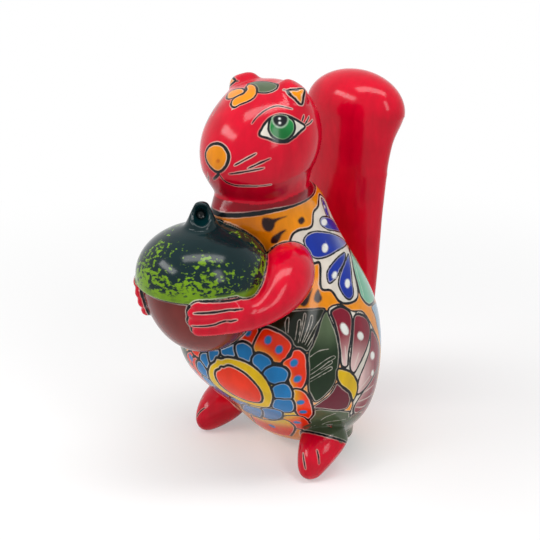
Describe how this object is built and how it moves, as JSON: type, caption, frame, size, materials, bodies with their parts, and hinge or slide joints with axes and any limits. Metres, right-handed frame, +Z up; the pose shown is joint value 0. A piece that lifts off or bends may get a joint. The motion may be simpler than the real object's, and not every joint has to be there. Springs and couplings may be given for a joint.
{
  "type": "squirrel figurine",
  "caption": "Seated squirrel holding an acorn in both hands: a hollow glazed earthenware ornament with an upright tail and hand-painted floral decoration.",
  "frame": {"origin": "on the floor, at the middle of the torso's flat foot", "axes": "+Z up, the squirrel faces -Y, its left side is +X"},
  "size_m": [0.1278, 0.201, 0.2482],
  "materials": {
    "painted_glaze": "hand-painted flowers under a gloss glaze",
    "red_glaze": "gloss crimson glaze",
    "acorn_cap_glaze": "gloss dark green glaze, sponged with lime green",
    "acorn_nut_glaze": "gloss red-brown glaze"
  },
  "bodies": {
    "root": {"body_shell": "painted_glaze", "head_shell": "red_glaze", "left_ear": "red_glaze", "right_ear": "red_glaze", "left_arm": "red_glaze", "right_arm": "red_glaze", "left_foot": "red_glaze", "right_foot": "red_glaze", "tail_shell": "red_glaze", "acorn_nut": "acorn_nut_glaze", "acorn_cap": "acorn_cap_glaze", "acorn_stem": "acorn_cap_glaze"}
  },
  "joints": []
}
